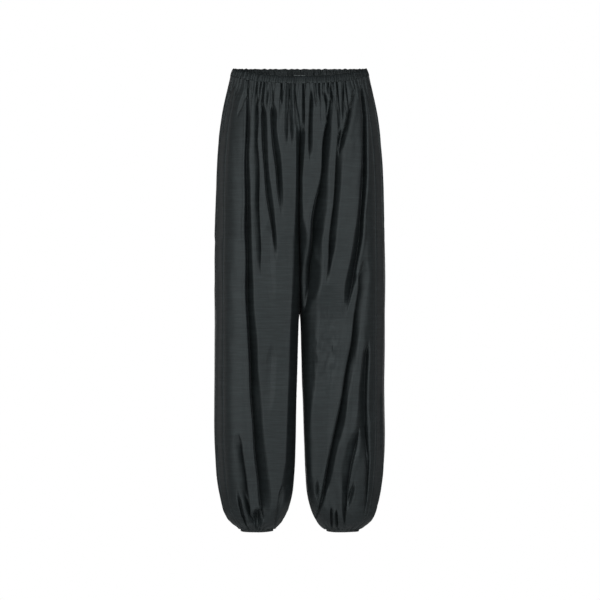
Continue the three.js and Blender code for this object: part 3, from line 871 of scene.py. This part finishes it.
def shell(name, outer, inner):
    """A closed wall of cloth between two grids of points that match."""
    rows, columns = outer.shape[:2]
    points = np.concatenate([outer.reshape(-1, 3), inner.reshape(-1, 3)])
    count = rows * columns
    index = np.arange(count).reshape(rows, columns)
    border = np.concatenate([index[0, :-1], index[:-1, -1], index[-1, :0:-1], index[:0:-1, 0]])
    after = np.roll(border, -1)
    rim = np.stack([after, border, border + count, after + count], axis=-1)
    quads = np.concatenate([grid_quads(rows, columns), grid_quads(rows, columns, count)[:, ::-1], rim])
    if enclosed_volume(points, quads) < 0:
        quads = quads[:, ::-1]
    return new_object(name, points, quads, flat=len(rim))


def ring_body(name, profiles):
    """A closed body from a closed profile that goes once round a loop."""
    loop, size = profiles.shape[:2]
    points = profiles.reshape(-1, 3)
    quads = grid_quads(loop, size, wrap_rows=True, wrap_columns=True)
    if enclosed_volume(points, quads) < 0:
        quads = quads[:, ::-1]
    return new_object(name, points, quads)


def casing_section(height, swell, thickness):
    """A rounded band's section, as distance outwards and height, from its lower edge up."""
    turn = 2 * np.pi * np.arange(CASING_PROFILE) / CASING_PROFILE
    upright = np.sign(-np.cos(turn)) * np.abs(np.cos(turn)) ** BAND_EDGE_POWER
    level = (upright + 1) / 2
    bulge = swell * (1 - (2 * level - 1) ** 2)
    thin = thickness / 2 * np.sign(np.sin(turn)) * np.abs(np.sin(turn)) ** BAND_FACE_POWER
    return thin - thickness / 2 + bulge, level * height


def gather_profile(share, lines, spacing):
    """How far in the casing is drawn at each place: narrow dips between round ridges."""
    places, deep = lines
    distance = np.abs(share[:, None] - places[None, :])
    distance = np.minimum(distance, 1 - distance) / spacing
    return (deep * np.exp(-np.abs(distance / DIP_HALF) ** DIP_POWER)).sum(axis=1)


def waist_casing(leg):
    """Elastic casing, gathered where the fine gathers of both legs begin."""
    ring_x, ring_y, ring_along = leg.x[0], leg.y[0], leg.along[0]
    half = ring_along[-1]
    place = 2 * half * np.arange(CASING_COLUMNS) / CASING_COLUMNS
    is_right = place < half
    along = np.where(is_right, place, 2 * half - place)
    x = np.interp(along, ring_along, ring_x) * np.where(is_right, 1, -1)
    y = np.interp(along, ring_along, ring_y)
    steps = [np.roll(line, -TANGENT_COLUMNS) - np.roll(line, TANGENT_COLUMNS) for line in (x, y)]
    tangent = np.stack(steps, axis=-1)
    tangent /= np.linalg.norm(tangent, axis=-1, keepdims=True)
    outward = np.stack([tangent[:, 1], -tangent[:, 0]], axis=-1)
    right, left = gather_lines("right"), gather_lines("left")
    lines = (np.concatenate([right[0] / 2, 1 - left[0] / 2]), np.concatenate([right[1], left[1]]))
    dips = gather_profile(place / (2 * half), lines, 0.5 / WAIST_GATHERS)
    wander = Wobble(CASING_WANDER_SEED, CASING_WANDER_LENGTH)(place)
    out, height = casing_section(CASING_HEIGHT, CASING_SWELL, CASING)
    level = height / CASING_HEIGHT
    middle_share = 1 - CASING_EDGE_SHARE
    strength = CASING_GATHER_DEPTH * (CASING_EDGE_SHARE + middle_share * np.sin(np.pi * level))
    taper = mix(CASING_TAPER, BACK_CASING_TAPER, ease(*TAPER_CHANGE, y))
    lean = CASING_LEAN_COLUMNS * (level - 0.5)
    leaning_dips = np.array([np.roll(dips, int(round(columns))) for columns in lean]).T
    drawn = leaning_dips * strength + CASING_WANDER * wander[:, None]
    edge = CASING_EDGE_DIP * dips[:, None] * (level - 0.5)
    ruffle = CASING_RUFFLE * Wobble(CASING_RUFFLE_SEED, CASING_RUFFLE_LENGTH)(place)[:, None] * level
    offset = out + CASING_STAND_OUT - drawn - taper[:, None] * level
    px = x[:, None] + outward[:, :1] * offset
    py = y[:, None] + outward[:, 1:] * offset
    pz = waist_rise(y)[:, None] + height - CASING_HEIGHT - edge + ruffle
    return ring_body("waist_casing", np.stack([px, py, pz], axis=-1))


def hem_casing(side):
    """Elastic hem casing with a small ruffled lower edge."""
    turn = 2 * np.pi * np.arange(HEM_COLUMNS) / HEM_COLUMNS
    share, deep, _ = hem_lines(side)
    dips = gather_profile(turn / (2 * np.pi), (share, deep), 1 / HEM_WAVES)
    tall = HEM_BOTTOM_DROP - HEM_TOP_DROP
    out, height = casing_section(tall, HEM_SWELL, HEM_CASING)
    level = height / tall
    flare = HEM_FLARE * (1 - level) ** 2
    strength = HEM_DIP_DEPTH * mix(HEM_TOP_DIP_SHARE, 1, 1 - level)
    radius = HEM_RADIUS - HEM_SINK + out + flare - dips[:, None] * strength
    mirror = -1 if side == "left" else 1
    around = np.pi - turn if side == "left" else turn
    px = mirror * HEM_ACROSS + radius * np.cos(around)[:, None]
    py = radius * np.sin(around)[:, None]
    sag = HEM_SAG * Wobble(SEEDS[side]["sag"], HEM_SAG_TURN)(turn)[:, None] * (1 - level)
    pz = -HEM_BOTTOM_DROP + height + sag
    return ring_body(f"hem_casing_{side}", np.stack([px, py, pz], axis=-1))


# Materials

def node_material(name):
    """A new material with one principled shader, its node tree, shader and output."""
    material = bpy.data.materials.new(name)
    material.use_nodes = True
    tree = material.node_tree
    tree.nodes.clear()
    output = tree.nodes.new("ShaderNodeOutputMaterial")
    shader = tree.nodes.new("ShaderNodeBsdfPrincipled")
    tree.links.new(shader.outputs[0], output.inputs[0])
    return material, tree, shader, output


def stretched_noise(tree, scale, detail):
    """Noise over the object's own space, with a scale for each axis, per metre."""
    coordinates = tree.nodes.new("ShaderNodeTexCoord")
    mapping = tree.nodes.new("ShaderNodeMapping")
    mapping.inputs["Scale"].default_value = scale
    noise = tree.nodes.new("ShaderNodeTexNoise")
    noise.inputs["Scale"].default_value = 1
    noise.inputs["Detail"].default_value = detail
    noise.inputs["Roughness"].default_value = 0.55
    tree.links.new(coordinates.outputs["Object"], mapping.inputs["Vector"])
    tree.links.new(mapping.outputs[0], noise.inputs["Vector"])
    return noise.outputs["Fac"]


def ramp(tree, value, stops):
    """A colour for each value, from stops of a position and a colour."""
    node = tree.nodes.new("ShaderNodeValToRGB")
    elements = node.color_ramp.elements
    while len(elements) < len(stops):
        elements.new(0.5)
    for element, (position, color) in zip(elements, stops):
        element.position = position
        element.color = (*color, 1)
    tree.links.new(value, node.inputs[0])
    return node.outputs[0]


def grey(value):
    """A grey as a colour."""
    return (value, value, value)


def multiply(tree, a, b):
    """The product of two colours."""
    node = tree.nodes.new("ShaderNodeMix")
    node.data_type = "RGBA"
    node.blend_type = "MULTIPLY"
    node.inputs["Factor"].default_value = 1
    tree.links.new(a, node.inputs["A"])
    tree.links.new(b, node.inputs["B"])
    return node.outputs["Result"]


def dupion():
    """Dark slate dupion: fine crosswise slubs, longer streaks and a soft sheen."""
    material, tree, shader, _ = node_material("slate_dupion")
    slubs = stretched_noise(tree, SLUB_SCALE, 3)
    long_slubs = stretched_noise(tree, STREAK_SCALE, 2)
    broad = stretched_noise(tree, TONE_SCALE, 2)
    color = ramp(tree, slubs, [(0.30, DUPION_DARK), (0.72, DUPION_LIGHT)])
    streaks = ramp(tree, long_slubs, [(0.34, grey(0.72)), (0.5, grey(1.0)), (0.68, grey(1.45))])
    tone = ramp(tree, broad, [(0.3, grey(0.9)), (0.7, grey(1.1))])
    color = multiply(tree, multiply(tree, color, streaks), tone)
    tree.links.new(color, shader.inputs["Base Color"])
    gloss = ramp(tree, slubs, [(0.3, grey(0.47)), (0.75, grey(0.40))])
    tree.links.new(gloss, shader.inputs["Roughness"])
    shader.inputs["Specular IOR Level"].default_value = 0.5
    shader.inputs["Sheen Weight"].default_value = 0.02
    shader.inputs["Sheen Roughness"].default_value = 0.4
    bump = tree.nodes.new("ShaderNodeBump")
    bump.inputs["Strength"].default_value = 0.35
    bump.inputs["Distance"].default_value = 0.0005
    tree.links.new(slubs, bump.inputs["Height"])
    tree.links.new(bump.outputs[0], shader.inputs["Normal"])
    return material


def label_tape():
    """Pale woven tape with a fine rib."""
    material, tree, shader, _ = node_material("label_tape")
    rib = stretched_noise(tree, LABEL_RIB_SCALE, 1)
    color = ramp(tree, rib, [(0.3, grey(0.2)), (0.7, grey(0.28))])
    tree.links.new(color, shader.inputs["Base Color"])
    shader.inputs["Roughness"].default_value = 0.75
    return material


CLOTH_MATERIAL = dupion()
LABEL_MATERIAL = label_tape()


def finish_piece(obj, nodes, material):
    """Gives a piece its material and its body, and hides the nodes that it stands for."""
    obj.data.materials.append(material)
    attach(obj, "root")
    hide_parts(*nodes)


# The garment

legs = {side: LegForm(INNER_ROUND[side]) for side in SIDES}
for side in SIDES:
    outer, inner = cloth_points(legs[side], side)
    for face, columns, cut in (("front", slice(0, FRONT_COLUMNS), FRONT_CUT),
                               ("back", slice(FRONT_COLUMNS, None), BACK_CUT)):
        panel = shell(f"panel_{face}_{side}", outer[:, columns], inner[:, columns])
        nodes = [f"{face}_{side}_{length}" for length in ("upper", "lower")]
        finish_piece(panel, nodes, CLOTH_MATERIAL)
    hem = hem_casing(side)
    finish_piece(hem, [f"hem_{side}"], CLOTH_MATERIAL)

waistband = waist_casing(legs["right"])
finish_piece(waistband, ["waistband"], CLOTH_MATERIAL)


def blank_label():
    """A thin blank tape with a slight curl, on the label's own solid."""
    low, high = (np.array(corner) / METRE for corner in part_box("label"))
    u = np.linspace(0, 1, LABEL_COLUMNS)[None, :]
    v = np.linspace(0, 1, LABEL_ROWS)[:, None]
    curl = LABEL_CURL * np.sin(np.pi * u) * np.ones_like(v)
    x = mix(low[0], high[0], u) + 0 * v
    z = mix(high[2] - LABEL_TOP_GAP, low[2], v) + LABEL_RIPPLE * np.sin(LABEL_RIPPLE_RATE * u)
    front = np.stack([x, low[1] + curl, z], axis=-1)
    back = np.stack([x, low[1] + curl + LABEL_TAPE, z], axis=-1)
    return shell("blank_label", front, back)


label = blank_label()
finish_piece(label, ["label"], LABEL_MATERIAL)


# Studio: camera, floor, white surroundings and soft lights


def make_camera():
    """A level camera in front, at the photograph's scale."""
    data = bpy.data.cameras.new("camera")
    data.sensor_width = SENSOR_WIDTH
    data.lens = SENSOR_WIDTH * CAMERA_DISTANCE / IMAGE_WIDTH_AT_GARMENT
    camera = bpy.data.objects.new("camera", data)
    camera.location = (CAMERA_ACROSS, -CAMERA_DISTANCE, CAMERA_HEIGHT)
    camera.rotation_euler = (math.radians(90), 0, 0)
    bpy.context.collection.objects.link(camera)
    bpy.context.scene.camera = camera


def seen_white(tree, surface, kind):
    """Mixes a surface with plain white for what the camera sees directly."""
    path = tree.nodes.new("ShaderNodeLightPath")
    white = tree.nodes.new(kind)
    white.inputs["Color"].default_value = (1, 1, 1, 1)
    white.inputs["Strength"].default_value = 1
    both = tree.nodes.new("ShaderNodeMixShader")
    tree.links.new(path.outputs["Is Camera Ray"], both.inputs[0])
    tree.links.new(surface, both.inputs[1])
    tree.links.new(white.outputs[0], both.inputs[2])
    return both.outputs[0]


def make_floor():
    """A wide pale floor below the hanging garment."""
    corners = np.array([(-1, -1, 0), (1, -1, 0), (1, 1, 0), (-1, 1, 0)]) * FLOOR_HALF
    floor = new_object("floor", (corners + (0, 0, FLOOR_HEIGHT)) / METRE, [[0, 1, 2, 3]])
    material, tree, shader, output = node_material("pale_floor")
    shader.inputs["Base Color"].default_value = (*grey(FLOOR_TONE), 1)
    shader.inputs["Roughness"].default_value = 0.9
    tree.links.new(seen_white(tree, shader.outputs[0], "ShaderNodeEmission"), output.inputs[0])
    floor.data.materials.append(material)


def make_world():
    """Dim surroundings, which the camera sees as white."""
    world = bpy.data.worlds.new("studio")
    world.use_nodes = True
    tree = world.node_tree
    tree.nodes.clear()
    output = tree.nodes.new("ShaderNodeOutputWorld")
    dim = tree.nodes.new("ShaderNodeBackground")
    dim.inputs["Color"].default_value = (*SURROUNDINGS, 1)
    dim.inputs["Strength"].default_value = SURROUNDINGS_STRENGTH
    tree.links.new(seen_white(tree, dim.outputs[0], "ShaderNodeBackground"), output.inputs[0])
    bpy.context.scene.world = world


def soft_panel(name, azimuth, distance, height, size, brightness, color, aim):
    """A softbox around the garment, at an angle from straight ahead of its front."""
    angle = math.radians(azimuth)
    place = Vector((distance * math.sin(angle), -distance * math.cos(angle), height))
    data = bpy.data.lights.new(name, "AREA")
    data.shape = "RECTANGLE"
    data.size, data.size_y = size
    data.energy = brightness * math.pi * size[0] * size[1]
    data.color = color
    light = bpy.data.objects.new(name, data)
    light.location = place
    light.rotation_euler = (Vector((0, 0, aim)) - place).to_track_quat("-Z", "Y").to_euler()
    light.visible_camera = False
    bpy.context.collection.objects.link(light)


make_camera()
make_floor()
make_world()
for name, light in LIGHTS.items():
    soft_panel(name, *light)

bpy.context.scene.view_settings.view_transform = "Standard"
